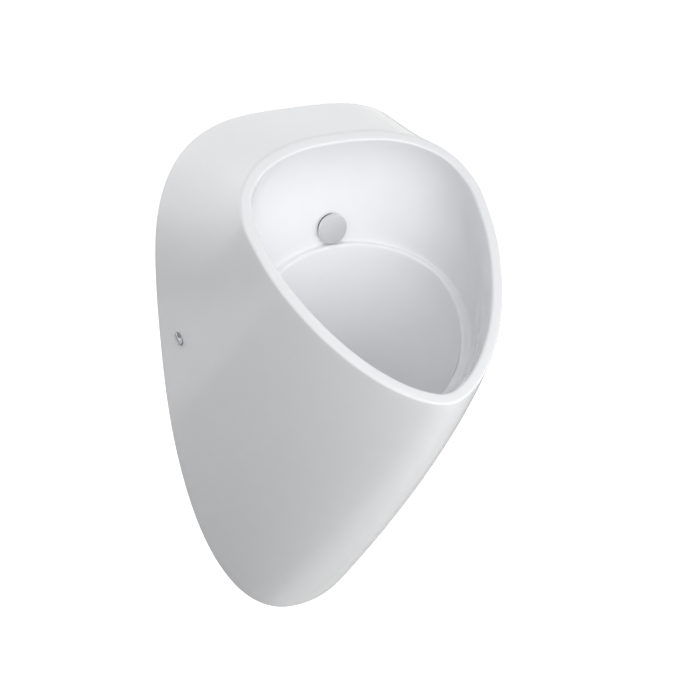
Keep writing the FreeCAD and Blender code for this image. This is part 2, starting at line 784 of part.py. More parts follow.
def union_ring(name, joint, y):
    """A union nut that draws a collar, below a joint, up to a threaded tail."""
    seat = joint - d.trap_collar_thick
    low = seat - d.ring_lip
    thread, hole = d.tail_half + d.thread_gap, d.trap_half + d.thread_gap
    section = [(hole, low), (d.ring_half, low), (d.ring_half, low + d.ring_long),
               (thread, low + d.ring_long), (thread, seat), (hole, seat)]
    return lathe(name, section, y=y)


# ------------------------------------------------ side fixings and brackets

def leg_face():
    """How far out the inner face of each bracket's leg stands."""
    return d.back_half - d.leg_in


def bracket(name, side):
    """An angle of flat steel: a plate on the wall and a leg beside the china."""
    body = new_body(name)
    leg_in = leg_face()
    leg_out = leg_in + d.plate_thick
    base_in = leg_in - d.base_wide
    base = new_sketch(body, "XZ_Plane")
    draw_polygon(base, [(base_in * side, -d.base_half), (leg_out * side, -d.base_half),
                        (leg_out * side, d.base_half), (base_in * side, d.base_half)])
    plate = pad(body, base, d.plate_thick)
    doc.recompute()
    corners = [f"Edge{k + 1}" for k, edge in enumerate(plate.Shape.Edges)
               if edge.BoundBox.YLength > d.plate_thick.value / 2]
    rounded = body.newObject("PartDesign::Fillet", "Corners")
    rounded.Base = (plate, corners)
    rounded.Radius = d.base_round.value
    rounded.setExpression("Radius", d.base_round.text)
    leg = new_sketch(body, "XZ_Plane")
    draw_polygon(leg, [(leg_in * side, -d.leg_half), (leg_out * side, -d.leg_half),
                       (leg_out * side, d.leg_half), (leg_in * side, d.leg_half)])
    pad(body, leg, d.leg_past - d.fixing_y)
    holes = new_sketch(body, "XZ_Plane")
    for up in (1, -1):
        draw_circle(holes, (leg_in - d.bolt_in) * side, (d.base_half - d.bolt_edge) * up, d.bolt_hole)
    cut_through(body, holes)
    way = new_sketch(body, "YZ_Plane")
    draw_circle(way, d.fixing_y, 0, d.bush_inner)
    cut_through(body, way)
    return body


def side_fixing(word, side):
    """What holds one side of the china to its bracket."""
    place = dict(turn=ALONG_X[side], y=d.fixing_y)
    bracket(f"bracket_{word}", side)
    leg_in = leg_face()
    nut_in = leg_in - d.weld_nut_thick
    hex_nut(f"weld_nut_{word}", d.weld_nut_flat, d.screw_half + d.thread_gap, nut_in,
            d.weld_nut_thick, **place)
    leg_out = leg_in + d.plate_thick
    pocket = d.side_x - d.pocket_deep
    flange = pocket + d.bush_flange
    lathe(f"fixing_bush_{word}", [
        (d.bush_inner, leg_out), (d.bush_half, leg_out), (d.bush_half, pocket),
        (d.cap_half, pocket), (d.cap_half, flange), (d.bush_inner, flange),
    ], **place)
    head_top = flange + d.screw_head_thick
    screw_end = nut_in - d.screw_past
    screw = lathe(f"fixing_screw_{word}", [
        (0, screw_end), (d.screw_half - d.screw_point, screw_end),
        (d.screw_half, screw_end + d.screw_point), (d.screw_half, flange),
        (d.screw_head, flange), (d.screw_head, head_top - d.screw_bevel),
        (d.screw_head - d.screw_bevel, head_top), (0, head_top),
    ], **place)
    socket = new_sketch(screw, "XY_Plane", head_top)
    draw_polygon(socket, hexagon(d.socket_half))
    cut_deep(screw, socket, d.socket_deep)
    top = d.side_x + d.cap_proud
    inner = d.cap_half - d.cap_wall
    inner_round = d.cap_round - d.cap_wall
    lathe(f"cap_{word}", [
        (inner, flange), (d.cap_half, flange), (d.cap_half, top - d.cap_round),
        (d.cap_half - d.cap_round * MID_ROUND, top - d.cap_round * MID_ROUND),
        (d.cap_half - d.cap_round, top), (0, top), (0, top - d.cap_wall),
        (inner - inner_round, top - d.cap_wall), (inner, top - d.cap_wall - inner_round),
    ], **place)


# ------------------------------------------------------------------- export

def check_and_write():
    doc.recompute()
    for thing in doc.Objects:
        if "Invalid" in thing.State or "Error" in thing.State:
            raise RuntimeError(f"{thing.Name} did not compute: {thing.State}")
    pieces = [t for t in doc.Objects if t.TypeId in ("PartDesign::Body", "Part::Feature")]
    for piece in pieces:
        if piece.Shape.isNull() or not piece.Shape.isValid():
            raise RuntimeError(f"{piece.Label} has no sound shape")
    os.makedirs("parts", exist_ok=True)
    for piece in pieces:
        piece.Shape.exportStep(f"parts/{piece.Label}.step")
        print(f"{piece.Label}: {len(piece.Shape.Solids)} solid, {piece.Shape.Volume:.0f} mm3")


china_body()
spray_parts()
trap_parts(drain_parts())
for word, side in (("right", 1), ("left", -1)):
    side_fixing(word, side)
check_and_write()
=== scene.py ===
import json
import math

import bmesh
import bpy
import numpy as np
from mathutils import Matrix, Vector

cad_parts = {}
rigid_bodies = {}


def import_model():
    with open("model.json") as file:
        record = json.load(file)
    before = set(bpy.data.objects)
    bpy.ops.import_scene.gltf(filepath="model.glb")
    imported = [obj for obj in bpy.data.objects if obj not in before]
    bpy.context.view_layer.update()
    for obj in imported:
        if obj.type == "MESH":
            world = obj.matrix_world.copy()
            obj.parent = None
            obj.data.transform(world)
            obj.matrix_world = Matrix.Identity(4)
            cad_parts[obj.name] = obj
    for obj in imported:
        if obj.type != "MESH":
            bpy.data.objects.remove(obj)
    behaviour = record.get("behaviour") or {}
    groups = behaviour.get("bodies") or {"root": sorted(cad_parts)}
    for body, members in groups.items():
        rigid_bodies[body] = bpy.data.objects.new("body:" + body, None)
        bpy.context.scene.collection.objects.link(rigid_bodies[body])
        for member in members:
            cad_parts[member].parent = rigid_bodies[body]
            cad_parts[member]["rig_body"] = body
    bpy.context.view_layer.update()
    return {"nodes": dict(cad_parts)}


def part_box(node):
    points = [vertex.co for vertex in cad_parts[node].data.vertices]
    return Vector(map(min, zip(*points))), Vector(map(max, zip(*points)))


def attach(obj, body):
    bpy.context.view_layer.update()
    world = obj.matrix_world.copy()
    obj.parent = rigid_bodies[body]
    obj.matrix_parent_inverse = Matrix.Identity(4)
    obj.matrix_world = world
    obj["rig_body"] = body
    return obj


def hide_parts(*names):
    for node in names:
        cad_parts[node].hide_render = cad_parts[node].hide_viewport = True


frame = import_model()
nodes = frame["nodes"]

# ---------------------------------------------------------------- china body
# One shell of vitreous china, slip cast in a plaster mould, sprayed with white
# glaze and fired. The real piece stays bare on the edge that lies on the wall and in the hollow
# behind the bowl; here the hollow and the bores are bare and the wall edge is glazed. Its form is
# drawn as closed outlines, laid one inside the next.
MM = 0.001
STATIONS = 32       # places round each outline where it is drawn
BETWEEN = 6         # mesh points from one place to the next
WELD, CUT_WELD = 0.001 * MM, 0.002 * MM     # points nearer than this become one
CREASE = math.radians(35)                   # sharper edges are shaded as edges
ROUND_STEPS = 96                            # sides of a turned form
GRAIN_DETAIL = 4.0
WALL = 12.0 * MM
# Half width, height of the widest place, rise above it and drop below it, then how full
# the upper and lower halves are, where 2 is an ellipse.
BACK_EGG = (159.5 * MM, 2.5 * MM, 213.0 * MM, 428.5 * MM, 3.35, 2.18)
RIM_EGG = (124.5 * MM, 43.9 * MM, 93.8 * MM, 203.8 * MM, 2.36, 1.69)
LEDGE_EGG = (113.4 * MM, -92.0 * MM, 92.0 * MM, 112.0 * MM)
RIM_TILT = math.radians(52.4)
RIM_Y, RIM_Z = -216.0 * MM, 131.4 * MM
RIM_LAND, RIM_ROUND, BACK_ROUND = 10.8 * MM, 2.6 * MM, 3.5 * MM
SKIN_LEAD, SKIN_REACH = 0.69, 0.78          # where the outer skin bulges most, as shares
LEDGE_Y, LEDGE_Z = -93.7 * MM, 97.0 * MM
LEDGE_STEP, LEDGE_CORNER, LEDGE_NOSE = 8.0 * MM, 2.8 * MM, 3.2 * MM
# How far the bowl's curves run on below the rim, above and below the ledge and on the floor.
THROAT, PLUNGE, LOWER, FLARE = 42.0 * MM, 42.0 * MM, 95.0 * MM, 46.0 * MM
PLUNGE_LEAN, PLUNGE_FALL, LOWER_LEAN, LOWER_FALL = 0.75, 0.66, 0.45, 0.8    # shares, at the lip
FLARE_BACK = 0.15                           # share of the flare at the back
FLOOR_Y, FLOOR_Z, FLOOR_HALF = -122.0 * MM, -128.0 * MM, 36.0 * MM
CORNER_ROWS, SKIN_ROWS, LAND_ROWS, WALL_ROWS, SHELF_ROWS, BOWL_ROWS = 6, 40, 3, 16, 2, 34
TURNS = 2 * math.pi * np.arange(STATIONS) / STATIONS
FRONT = (1 - np.cos(TURNS))[:, None] / 2    # 0 at the back or top, 1 at the lip


def linear(hex_code):
    """An sRGB hex colour as the linear values that a socket takes."""
    shares = [int(hex_code[k:k + 2], 16) / 255 for k in (0, 2, 4)]
    return [c / 12.92 if c <= 0.04045 else ((c + 0.055) / 1.055) ** 2.4 for c in shares] + [1]


def add_node(tree, kind, links=(), **settings):
    """A node with its settings, and its sockets set or linked."""
    node = tree.nodes.new("ShaderNode" + kind)
    for name, value in settings.items():
        setattr(node, name, value)
    for socket, value in dict(links).items():
        if isinstance(value, bpy.types.NodeSocket):
            tree.links.new(value, node.inputs[socket])
        else:
            node.inputs[socket].default_value = value
    return node


def new_finish(name, hex_code, roughness, **sockets):
    """A material and its shader, with plain values on the shader's own sockets."""
    finish = bpy.data.materials.new(name)
    finish.use_nodes = True
    shader = finish.node_tree.nodes["Principled BSDF"]
    shader.inputs["Base Color"].default_value = linear(hex_code)
    shader.inputs["Roughness"].default_value = roughness
    for socket, value in sockets.items():
        shader.inputs[socket.replace("_", " ")].default_value = value
    return finish, shader


def grained(finish, shader, grain, depth, pale, dark, smooth, rough):
    """Noise of a real grain size that tints, roughens and lifts a surface."""
    tree = finish.node_tree
    place = add_node(tree, "TexCoord").outputs["Object"]
    noise = add_node(tree, "TexNoise", {"Vector": place, "Scale": 1 / grain,
                                      "Detail": GRAIN_DETAIL})
    height = noise.outputs["Fac"]
    tint = add_node(tree, "Mix", {"Factor": height, "A": linear(dark), "B": linear(pale)},
                    data_type="RGBA")
    level = add_node(tree, "MapRange", {"Value": height, "To Min": smooth, "To Max": rough})
    bump = add_node(tree, "Bump", {"Height": height, "Distance": depth})
    tree.links.new(tint.outputs["Result"], shader.inputs["Base Color"])
    tree.links.new(level.outputs["Result"], shader.inputs["Roughness"])
    tree.links.new(bump.outputs["Normal"], shader.inputs["Normal"])
    return finish


# Glaze is a skin of clear glass over white clay: a hard, even gloss on plain white. It
# flows a little in the kiln, so straight reflections waver over about 20 mm.
glazed_china = grained(*new_finish("glazed_vitreous_china", "f5f6f8", 0.05, IOR=1.52),
                       grain=20 * MM, depth=0.03 * MM, pale="f6f7f9", dark="f3f4f6",
                       smooth=0.04, rough=0.07)
# Where the glaze was wiped off, the fired clay is a dull cream with a fine tooth.
bare_china = grained(*new_finish("bare_fired_china", "e4dfd4", 0.75),
                     grain=1.5 * MM, depth=0.05 * MM, pale="e8e4da", dark="dcd6c9",
                     smooth=0.65, rough=0.85)


def egg(half, wide, rise, drop, upper=2.0, lower=2.0, inset=0.0):
    """Closed outline as (across, up), from the top round by the right."""
    half, rise, drop = half - inset, rise - inset, drop - inset
    points = []
    for turn in TURNS:
        power, reach = (upper, rise) if math.cos(turn) >= 0 else (lower, drop)
        size = (abs(math.sin(turn)) ** power + abs(math.cos(turn)) ** power) ** (-1 / power)
        points.append((half * size * math.sin(turn), wide + reach * size * math.cos(turn)))
    return np.array(points)


def drawn_in(points, depth):
    """The outline moved inwards, square to itself."""
    along = np.roll(points, -1, 0) - np.roll(points, 1, 0)
    along /= np.linalg.norm(along, axis=1)[:, None]
    return points + depth * np.stack([along[:, 1], -along[:, 0]], 1)


def on_slope(points, y, z):
    """The outline laid on a plane that is parallel to the rim."""
    across, up = points.T
    return np.stack([across, y + up * math.sin(RIM_TILT), z + up * math.cos(RIM_TILT)], 1)


def back_outline(inset=0.0, y=0.0):
    """The outline of the edge that lies on the wall."""
    return np.insert(egg(*BACK_EGG, inset), 1, y, axis=1)


def rim_outline(inset=0.0):
    """The outer edge of the rim, flat in the rim's own plane."""
    return egg(*RIM_EGG, inset)


def pulled(back, rim):
    """The outline that pulls the outer skin out between the wall and the rim."""
    return back + (rim - back) * np.array([SKIN_LEAD, SKIN_REACH, SKIN_LEAD])


def toward(points, targets, distance):
    """The points moved by a distance towards their targets."""
    way = targets - points
    return points + distance * way / np.linalg.norm(way, axis=1)[:, None]


def leaning(length, lean, fall):
    """Upward steps, one for each place, that lean forward at the lip."""
    steps = [np.zeros_like(FRONT), -lean * FRONT, 1 - (1 - fall) * FRONT]
    return length * np.concatenate(steps, axis=1)


def bowl_outlines(grow=0.0):
    """Outlines down the inside of the bowl, moved outwards by grow."""
    rim = on_slope(drawn_in(rim_outline(), RIM_LAND - grow), RIM_Y, RIM_Z)
    ledge = on_slope(egg(*LEDGE_EGG), LEDGE_Y, LEDGE_Z)
    along = np.roll(ledge, -1, 0) - np.roll(ledge, 1, 0)
    inward = np.stack([along[:, 1], -along[:, 0], 0 * along[:, 0]], 1)
    inward /= np.linalg.norm(inward, axis=1)[:, None]
    ledge = ledge - inward * grow
    nose = ledge + inward * (0.0 if grow else LEDGE_STEP)
    square = np.array([0.0, -math.cos(RIM_TILT), math.sin(RIM_TILT)])
    away = np.stack([np.sin(TURNS), np.cos(TURNS), 0 * TURNS], 1)
    centre = np.array([0.0, FLOOR_Y, FLOOR_Z - grow])
    radius = FLOOR_HALF + grow
    round_floor = centre + away * (radius + FLARE * (FLARE_BACK + (1 - FLARE_BACK) * FRONT))
    floor = centre + away * radius
    above = ledge + leaning(PLUNGE, PLUNGE_LEAN, PLUNGE_FALL)
    below = nose - leaning(LOWER, LOWER_LEAN, LOWER_FALL)
    return rim, rim - square * THROAT, above, ledge, nose, below, round_floor, floor


def bend(rows, *poles):
    """Outlines of a surface that leaves the first pole and ends on the last."""
    made = []
    for share in np.arange(1, rows + 1) / rows:
        level = list(poles)
        while len(level) > 1:
            level = [a + (b - a) * share for a, b in zip(level, level[1:])]
        made.append(level[0])
    return made


def smooth_ring(points):
    """A closed cubic curve through the places of an outline, as a finer ring."""
    pull = (2 + np.cos(TURNS))[:, None] / 3
    poles = np.fft.ifft(np.fft.fft(points, axis=0) / pull, axis=0).real
    fine = []
    for place in range(STATIONS):
        four = [poles[(place + step) % STATIONS] for step in (-1, 0, 1, 2)]
        for t in np.arange(BETWEEN) / BETWEEN:
            weights = ((1 - t) ** 3, 3 * t ** 3 - 6 * t * t + 4,
                       -3 * t ** 3 + 3 * t * t + 3 * t + 1, t ** 3)
            fine.append(sum(w * p for w, p in zip(weights, four)) / 6)
    return fine


def new_piece(name, form, *finishes):
    """An object from a finished bmesh, smooth but for its sharp edges."""
    mesh = bpy.data.meshes.new(name)
    form.to_mesh(mesh)
    form.free()
    for finish in finishes:
        mesh.materials.append(finish)
    mesh.shade_smooth()
    mesh.set_sharp_from_angle(angle=CREASE)
    piece = bpy.data.objects.new(name, mesh)
    bpy.context.scene.collection.objects.link(piece)
    return piece


def skinned(name, outlines, *finishes):
    """A closed form: a ring is extruded from each outline to the next."""
    form = bmesh.new()
    place = form.verts.layers.int.new("place")
    count = STATIONS * BETWEEN
    ring = bmesh.ops.create_circle(form, segments=count, radius=1)["verts"]
    for k, vert in enumerate(ring):
        vert[place] = k
    edges = list(form.edges)
    for level, points in enumerate(outlines):
        fine = smooth_ring(points)
        if level:
            grown = bmesh.ops.extrude_edge_only(form, edges=edges)["geom"]
            edges = [e for e in grown if isinstance(e, bmesh.types.BMEdge) and e.is_boundary]
        for vert in {v for e in edges for v in e.verts}:
            vert.co = fine[vert[place]]
    bmesh.ops.holes_fill(form, edges=[e for e in form.edges if e.is_boundary], sides=0)
    bmesh.ops.recalc_face_normals(form, faces=form.faces)
    return new_piece(name, form, *finishes)


def section_line(form, points):
    """An open line of edges through the points."""
    verts = [form.verts.new(point) for point in points]
    for pair in zip(verts, verts[1:]):
        form.edges.new(pair)
    return verts


def spun(name, form, centre, axis, finish):
    """The piece that a section line sweeps out, turned once round an axis."""
    bmesh.ops.spin(form, geom=form.verts[:] + form.edges[:], cent=centre, axis=axis,
                   angle=2 * math.pi, steps=ROUND_STEPS, use_merge=True)
    bmesh.ops.remove_doubles(form, verts=form.verts, dist=WELD)
    bmesh.ops.recalc_face_normals(form, faces=form.faces)
    return new_piece(name, form, finish)


def rod(name, finish, radius, start, end):
    """A round cutting shape between two points."""
    form = bmesh.new()
    start, end = Vector(start), Vector(end)
    along = end - start
    side = along.orthogonal().normalized() * radius
    section_line(form, (start, start + side, end + side, end))
    return spun(name, form, start, along.normalized(), finish)


def carved(piece, tool):
    """Take the tool out of the piece, weld the cut and throw the tool away."""
    cut = piece.modifiers.new("carve", "BOOLEAN")
    cut.object, cut.operation = tool, "DIFFERENCE"
    cut.solver, cut.material_mode = "EXACT", "TRANSFER"
    graph = bpy.context.evaluated_depsgraph_get()
    mesh = bpy.data.meshes.new_from_object(piece.evaluated_get(graph))
    form = bmesh.new()
    form.from_mesh(mesh)
    bmesh.ops.remove_doubles(form, verts=form.verts, dist=CUT_WELD)
    form.to_mesh(mesh)
    form.free()
    piece.modifiers.clear()
    old, piece.data = piece.data, mesh
    mesh.name = piece.name
    bpy.data.meshes.remove(old)
    bpy.data.objects.remove(tool)


back, flat = back_outline(), back_outline(BACK_ROUND)
outer = on_slope(rim_outline(), RIM_Y, RIM_Z)
pull = pulled(back, outer)
rim, throat, above, ledge, nose, below, round_floor, floor = bowl_outlines()
skin_start, skin_end = toward(back, pull, BACK_ROUND), toward(outer, pull, RIM_ROUND)
land_out, land_in = toward(outer, rim, RIM_ROUND), toward(rim, outer, RIM_ROUND)
wall_start, wall_end = toward(rim, throat, RIM_ROUND), toward(ledge, above, LEDGE_CORNER)
shelf_in, shelf_out = toward(ledge, nose, LEDGE_CORNER), toward(nose, ledge, LEDGE_NOSE)
bowl_start = toward(nose, below, LEDGE_NOSE)
shown = [flat]
shown += bend(CORNER_ROWS, flat, back, skin_start) + bend(SKIN_ROWS, skin_start, pull, skin_end)
shown += bend(CORNER_ROWS, skin_end, outer, land_out) + bend(LAND_ROWS, land_out, land_in)
shown += bend(CORNER_ROWS, land_in, rim, wall_start)
shown += bend(WALL_ROWS, wall_start, throat, above, wall_end)
shown += bend(CORNER_ROWS, wall_end, ledge, shelf_in) + bend(SHELF_ROWS, shelf_in, shelf_out)
shown += bend(CORNER_ROWS, shelf_out, nose, bowl_start)
shown += bend(BOWL_ROWS, bowl_start, below, round_floor, floor)
china = skinned("china_body", shown, glazed_china, bare_china)

# The hollow behind: the same skins, one wall's thickness in, less the bowl and the boss.
CUT_PAST = 5.0 * MM     # how far a cutting shape runs on past the face that it opens
SPRAY_UP, SEAT_IN, BOSS_THICK, BOSS_HALF = 17.4 * MM, 0.5 * MM, 13.7 * MM, 24.0 * MM
HOLLOW_ROWS, BOWL_BACK_ROWS = 24, 20
spray_z = LEDGE_Z + SPRAY_UP
seat_y = LEDGE_Y + SEAT_IN
boss_back = seat_y + BOSS_THICK
inner_back = back_outline(WALL, CUT_PAST)
square = Vector((0, -math.cos(RIM_TILT), math.sin(RIM_TILT))) * WALL
inner_rim = on_slope(rim_outline(WALL), RIM_Y - square.y, RIM_Z - square.z)
inner_pull = pulled(inner_back, inner_rim)
hollow = skinned("hollow", [inner_back] + bend(HOLLOW_ROWS, inner_back, inner_pull, inner_rim),
                 bare_china)
rim, throat, above, ledge, nose, below, round_floor, floor = bowl_outlines(grow=WALL)
bowl_outside = skinned("bowl_outside", [rim] + bend(WALL_ROWS, rim, throat, above, ledge)
                       + bend(BOWL_BACK_ROWS, ledge, below, round_floor, floor), bare_china)
boss = rod("boss", bare_china, BOSS_HALF, (0, seat_y, spray_z), (0, boss_back, spray_z))
carved(hollow, bowl_outside)
carved(hollow, boss)
carved(china, hollow)

# Holes with glazed mouths: the spray head's seat, its shank, the drain and the side screws.
HEAD_HALF, SHANK_HALF, TAIL_HALF = 14.2 * MM, 10 * MM, 22 * MM
CAP_HALF, BUSH_HALF = 6.9 * MM, 6.4 * MM
SEAT_GAP, SHANK_GAP, DRAIN_GAP = 0.4 * MM, 1 * MM, 2 * MM
POCKET_GAP, BUSH_GAP = 0.5 * MM, 0.3 * MM
FIXING_Y, POCKET_DEEP, LEG_X = -45.0 * MM, 6.5 * MM, 128.0 * MM
SIDE_X = 151.49 * MM    # where the side face lies at the screw's axis
carved(china, rod("seat", glazed_china, HEAD_HALF + SEAT_GAP,
                  (0, seat_y - CUT_PAST, spray_z), (0, seat_y, spray_z)))
carved(china, rod("shank_hole", bare_china, SHANK_HALF + SHANK_GAP,
                  (0, seat_y - CUT_PAST, spray_z), (0, boss_back + CUT_PAST, spray_z)))
carved(china, rod("drain_hole", bare_china, TAIL_HALF + DRAIN_GAP,
                  (0, FLOOR_Y, FLOOR_Z + CUT_PAST), (0, FLOOR_Y, FLOOR_Z - WALL - CUT_PAST)))
for side in (1, -1):
    outside, recess, inside = [(side * x, FIXING_Y, 0) for x in (
        SIDE_X + CUT_PAST, SIDE_X - POCKET_DEEP, LEG_X)]
    carved(china, rod("bush_hole", bare_china, BUSH_HALF + BUSH_GAP, outside, inside))
    carved(china, rod("cap_recess", glazed_china, CAP_HALF + POCKET_GAP, outside, recess))
china.data.shade_smooth()
china.data.set_sharp_from_angle(angle=CREASE)
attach(china, "root")
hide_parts("ceramic_body")

# ---------------------------------------------------------------- spray disc
# The cover disc of the spray head, turned from brass and satin chromed. Its stem is a
# push fit in the head, and water leaves by the slot behind it.
DISC_HALF, DISC_THICK, DISC_EDGE, DISC_ROUND = 15.6 * MM, 3.2 * MM, 0.7 * MM, 0.25 * MM
STEM_HALF = 4 * MM
disc_low, disc_high = [corner.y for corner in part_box("spray_disc")]


def turned(name, section, centre, axis, finish, rounding):
    """A rounded piece, spun from its section as (radius, along) points."""
    form = bmesh.new()
    centre, axis = Vector(centre), Vector(axis)
    side = axis.orthogonal().normalized()
    verts = section_line(form, [centre + side * radius + axis * along for radius, along in section])
    corners = [v for v in verts if len(v.link_edges) == 2]
    bmesh.ops.bevel(form, geom=corners, offset=rounding, offset_type="OFFSET", segments=3,
                    profile=0.5, affect="VERTICES", material=-1, clamp_overlap=True)
    return spun(name, form, centre, axis, finish)


# Satin plate blurs what it mirrors into a flat grey. It is paler and less of a mirror than
# plain chrome, because the photograph's disc is a pale, even grey.
satin_chrome = grained(*new_finish("satin_chrome_on_turned_brass", "eeeff0", 0.44, Metallic=0.8),
                       grain=0.6 * MM, depth=0.002 * MM, pale="f2f2f3", dark="e6e7e9",
                       smooth=0.4, rough=0.5)
disc = turned("spray_cover_disc", [
    (0, disc_low), (DISC_HALF - DISC_EDGE, disc_low), (DISC_HALF, disc_low + DISC_EDGE),
    (DISC_HALF, disc_low + DISC_THICK), (STEM_HALF, disc_low + DISC_THICK),
    (STEM_HALF, disc_high), (0, disc_high),
], (0, 0, spray_z), (0, 1, 0), satin_chrome, DISC_ROUND)
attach(disc, "spray_disc")
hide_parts("spray_disc")

# ----------------------------------------------------------------- side caps
# A thin cap on each side hides the screw that holds the china on its bracket. It is
# drawn from brass sheet, polished and chromed, and snaps over the nylon bush.
CAP_WALL, CAP_ROUND, CAP_DOME, CAP_EDGE = 0.7 * MM, 1.4 * MM, 0.5 * MM, 0.15 * MM
KNEE = 0.3                              # share of the round that its middle point cuts off
DOME_PLACE, DOME_FALL = 0.5, 0.2        # shares: how far out on the dome, how far it has fallen
# Bright chrome is a plain mirror, a little blue beside the china.
polished_chrome = grained(*new_finish("polished_chrome_on_brass", "c9cbce", 0.06, Metallic=1.0),
                          grain=4 * MM, depth=0.003 * MM, pale="cbcdd0", dark="c5c7ca",
                          smooth=0.04, rough=0.09)
for word, side in (("right", 1), ("left", -1)):
    low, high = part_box("cap_" + word)
    near, far = (low.x, high.x) if side > 0 else (-high.x, -low.x)
    shoulder = far - CAP_DOME
    cap = turned("screw_cap_" + word, [
        (CAP_HALF - CAP_WALL, near), (CAP_HALF, near), (CAP_HALF, shoulder - CAP_ROUND),
        (CAP_HALF - KNEE * CAP_ROUND, shoulder - KNEE * CAP_ROUND),
        (CAP_HALF - CAP_ROUND, shoulder),
        (DOME_PLACE * CAP_HALF, far - DOME_FALL * CAP_DOME), (0, far), (0, far - CAP_WALL),
        (CAP_HALF - CAP_ROUND, shoulder - CAP_WALL), (CAP_HALF - CAP_WALL, shoulder - CAP_ROUND),
        (CAP_HALF - CAP_WALL, near),
    ], (0, FIXING_Y, 0), (side, 0, 0), polished_chrome, CAP_EDGE)
    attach(cap, "cap_" + word)
    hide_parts("cap_" + word)

# ------------------------------------------------------ water and waste fittings
# Brass, plastic and rubber fittings that lie hidden behind the china. Each is made from
# its CAD form, with its edges eased as a lathe, a mould or a barrel leaves them.
PLANE_ANGLE, EDGE_ANGLE = math.radians(0.5), math.radians(32)
PLAIN_CORNERS = 8               # a face with more corners than this is a plain end or side
NEAR = 0.03 * MM                # how near the skin a point lies
CUT_NEAR = NEAR / 1000          # how near a cut a point lies on it
CUTS = 6                        # cuts in each turn of a thread
TAIL_THREAD, TAIL_PITCH, TAIL_CUT = (-167.4 * MM, -144 * MM), 2.3 * MM, 0.9 * MM
RING_HALF, FLUTES, FLUTE_CUT = 27.5 * MM, 26, 1.3 * MM
SLEEVE_HALF, SLEEVE_RINGS = 26.0 * MM, (-6 * MM, 18 * MM)
SLEEVE_PITCH, SLEEVE_CUT = 4 * MM, 0.9 * MM
# Chrome over turned brass is a slightly blurred mirror, broken by faint tool marks.
chromed_brass = grained(*new_finish("chromed_brass", "c6c8ca", 0.12, Metallic=1.0),
                        grain=3 * MM, depth=0.004 * MM, pale="c9cbcd", dark="bfc1c3",
                        smooth=0.08, rough=0.18)
# Bare brass from the lathe is a warm yellow with a soft, streaky shine.
machined_brass = grained(*new_finish("machined_brass", "c9a35c", 0.28, Metallic=1.0),
                         grain=0.8 * MM, depth=0.004 * MM, pale="cfa962", dark="b99350",
                         smooth=0.22, rough=0.38)
# Stamped stainless sheet is a cool grey, duller than chrome.
pressed_steel = grained(*new_finish("pressed_stainless_steel", "bcbdbe", 0.25, Metallic=1.0),
                        grain=1.2 * MM, depth=0.004 * MM, pale="c2c3c4", dark="b0b1b3",
                        smooth=0.18, rough=0.34)
# Rubber from the mould is nearly black, dull and a little powdery.
moulded_rubber = grained(*new_finish("moulded_epdm_rubber", "26272a", 0.7),
                         grain=0.9 * MM, depth=0.02 * MM, pale="2c2d30", dark="202124",
                         smooth=0.6, rough=0.8)
# Injected polypropylene is a greyish white with a low, waxy sheen.
moulded_plastic = grained(*new_finish("moulded_white_polypropylene", "dfe0de", 0.38),
                          grain=1.5 * MM, depth=0.01 * MM, pale="e3e4e2", dark="d8d9d6",
                          smooth=0.32, rough=0.45)
# Glass-filled nylon is a mid grey with a faint mottle.
moulded_nylon = grained(*new_finish("moulded_grey_nylon", "9b9da0", 0.42),
                        grain=1.0 * MM, depth=0.01 * MM, pale="a0a2a5", dark="929497",
                        smooth=0.36, rough=0.5)
# Zinc plate is a pale grey metal, clouded with crystals a few millimetres broad.
zinc_plate = grained(*new_finish("zinc_plated_steel", "b4b6ba", 0.36, Metallic=1.0),
                     grain=5 * MM, depth=0.01 * MM, pale="bcbec1", dark="a6a8ad",
                     smooth=0.28, rough=0.46)


def eased(node, name, width, finish):
    """A merged copy of a CAD form with its edges rounded over."""
    form = bmesh.new()
    form.from_mesh(nodes[node].data)
    bmesh.ops.remove_doubles(form, verts=form.verts, dist=WELD)
    bmesh.ops.dissolve_limit(form, angle_limit=PLANE_ANGLE, verts=form.verts, edges=form.edges)
    sharp = [e for e in form.edges if e.is_manifold and e.calc_face_angle() > EDGE_ANGLE]
    bmesh.ops.bevel(form, geom=sharp, offset=width, offset_type="OFFSET", segments=2,
                    profile=0.5, affect="EDGES", material=-1, clamp_overlap=True)
    piece = new_piece(name, form, finish)
    for face in piece.data.polygons:
        face.use_smooth = len(face.vertices) <= PLAIN_CORNERS
    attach(piece, nodes[node]["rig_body"])
    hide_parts(node)
    return piece


def scored(piece, axis, radius, start, end, depth, pitch=0.0, starts=1):
    """Cut a thread, rings (no starts) or lengthwise flutes (no pitch) round a piece."""
    form = bmesh.new()
    form.from_mesh(piece.data)
    middle = sum((Vector(corner) for corner in piece.bound_box), Vector()) / 8

    def outward(point):
        way = point - middle
        way[axis] = 0
        return way

    skin = [f for f in form.faces
            if all(abs(outward(v.co).length - radius) < NEAR for v in f.verts)]
    skin += list({part for f in skin for part in (*f.verts, *f.edges)})
    square = Vector([float(k == axis) for k in range(3)])
    for height in np.arange(start, end, pitch / CUTS) if pitch else ():
        skin = bmesh.ops.bisect_plane(form, geom=skin, dist=CUT_NEAR, plane_co=square * height,
                                      plane_no=square)["geom"]
    for vert in form.verts:
        way = outward(vert.co)
        if start <= vert.co[axis] <= end and abs(way.length - radius) < NEAR:
            turn = math.atan2(way[axis - 1], way[axis - 2]) / (2 * math.pi)
            place = (vert.co[axis] / pitch if pitch else 0) + starts * turn
            vert.co -= way.normalized() * depth * abs(2 * (place % 1) - 1)
    form.to_mesh(piece.data)
    form.free()
    piece.data.set_sharp_from_angle(angle=CREASE)


